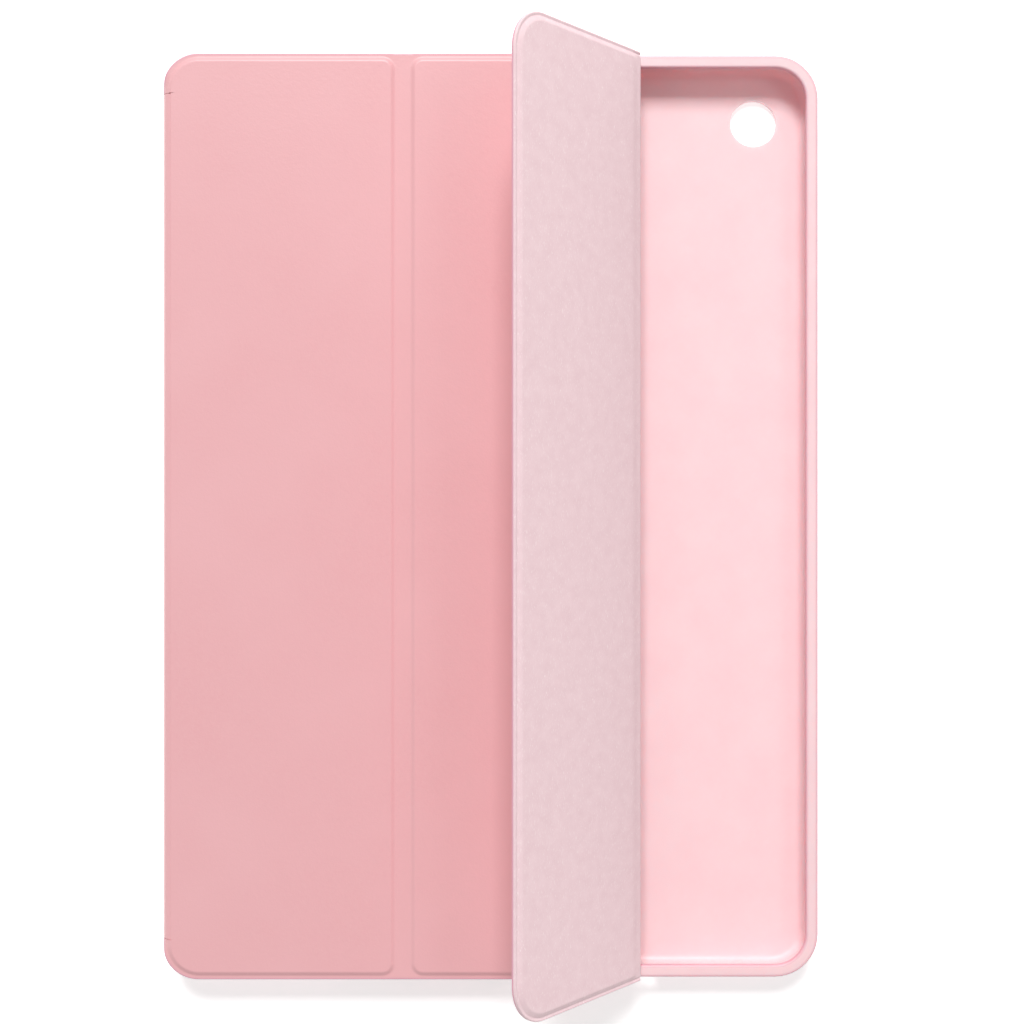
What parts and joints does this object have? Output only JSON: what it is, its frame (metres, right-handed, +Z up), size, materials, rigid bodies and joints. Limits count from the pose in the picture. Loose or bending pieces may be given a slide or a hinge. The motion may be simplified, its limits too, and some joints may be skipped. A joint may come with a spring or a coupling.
{
  "type": "tri-fold tablet case",
  "caption": "Tri-fold tablet case with a soft tray, a folding leather-look cover and a suede lining, its last panel folded back and raised.",
  "frame": {"origin": "middle of the case's bounding box, on the surface that its back lies on", "axes": "+X across the case, away from the spine; +Y up the long side, towards the headphone hole, power button and camera; +Z up out of the tray"},
  "size_m": [0.1806, 0.2542, 0.052],
  "materials": {
    "tpu": "satin, slightly translucent",
    "pu_leather": "fine grain, satin",
    "microfibre": "suede-like, matt",
    "board": "plain sheet",
    "magnet": "nickel plated",
    "glue": "clear film"
  },
  "bodies": {
    "tray": {"back_shell": "tpu", "flange_adhesive": "glue", "flange_leather": "pu_leather", "flange_fold_leather": "pu_leather", "flange_fold_lining": "microfibre"},
    "power_button": {"power_button_cover": "tpu"},
    "volume_up_button": {"volume_up_button_cover": "tpu"},
    "volume_down_button": {"volume_down_button_cover": "tpu"},
    "spine_foot": {"spine_foot_leather": "pu_leather", "spine_foot_lining": "microfibre"},
    "spine": {"spine_leather": "pu_leather", "spine_board": "board", "spine_lining": "microfibre", "spine_fold_leather": "pu_leather", "spine_fold_lining": "microfibre"},
    "panel_1": {"panel_1_leather": "pu_leather", "panel_1_board": "board", "panel_1_lining": "microfibre", "panel_1_magnets": "magnet", "fold_1_leather": "pu_leather", "fold_1_lining": "microfibre"},
    "panel_2": {"panel_2_leather": "pu_leather", "panel_2_board": "board", "panel_2_lining": "microfibre", "fold_2_leather": "pu_leather", "fold_2_lining": "microfibre"},
    "panel_3": {"panel_3_leather": "pu_leather", "panel_3_board": "board", "panel_3_lining": "microfibre", "panel_3_magnets": "magnet"}
  },
  "joints": [
    {"name": "flange_hinge", "type": "hinge", "parent": "tray", "child": "spine_foot", "pos_m": [-0.08845, 0, 0.00066], "axis": [0, -1, 0], "range_deg": [0, 132], "deforming": ["flange_fold_leather", "flange_fold_lining"]},
    {"name": "spine_hinge", "type": "hinge", "parent": "spine_foot", "child": "spine", "pos_m": [-0.08959, 0, 0.0018], "axis": [0, -1, 0], "range_deg": [0, 132], "deforming": ["spine_foot_leather", "spine_foot_lining"]},
    {"name": "cover_hinge", "type": "hinge", "parent": "spine", "child": "panel_1", "pos_m": [-0.08916, 0, 0.01151], "axis": [0, -1, 0], "range_deg": [0, 96], "deforming": ["spine_fold_leather", "spine_fold_lining"]},
    {"name": "fold_1_hinge", "type": "hinge", "parent": "panel_1", "child": "panel_2", "pos_m": [-0.02415, 0, 0.013], "axis": [0, 1, 0], "range_deg": [-120, 0], "deforming": ["fold_1_leather", "fold_1_lining"]},
    {"name": "fold_2_hinge", "type": "hinge", "parent": "panel_2", "child": "panel_3", "pos_m": [0.03935, 0, 0.013], "axis": [0, 1, 0], "range_deg": [-36, 132], "deforming": ["fold_2_leather", "fold_2_lining"]},
    {"name": "power_button_press", "type": "slide", "parent": "tray", "child": "power_button", "axis": [0, -1, 0], "range_m": [0, 0.0005], "stiffness_N_per_m": 400},
    {"name": "volume_up_button_press", "type": "slide", "parent": "tray", "child": "volume_up_button", "axis": [-1, 0, 0], "range_m": [0, 0.0005], "stiffness_N_per_m": 400},
    {"name": "volume_down_button_press", "type": "slide", "parent": "tray", "child": "volume_down_button", "axis": [-1, 0, 0], "range_m": [0, 0.0005], "stiffness_N_per_m": 400}
  ]
}
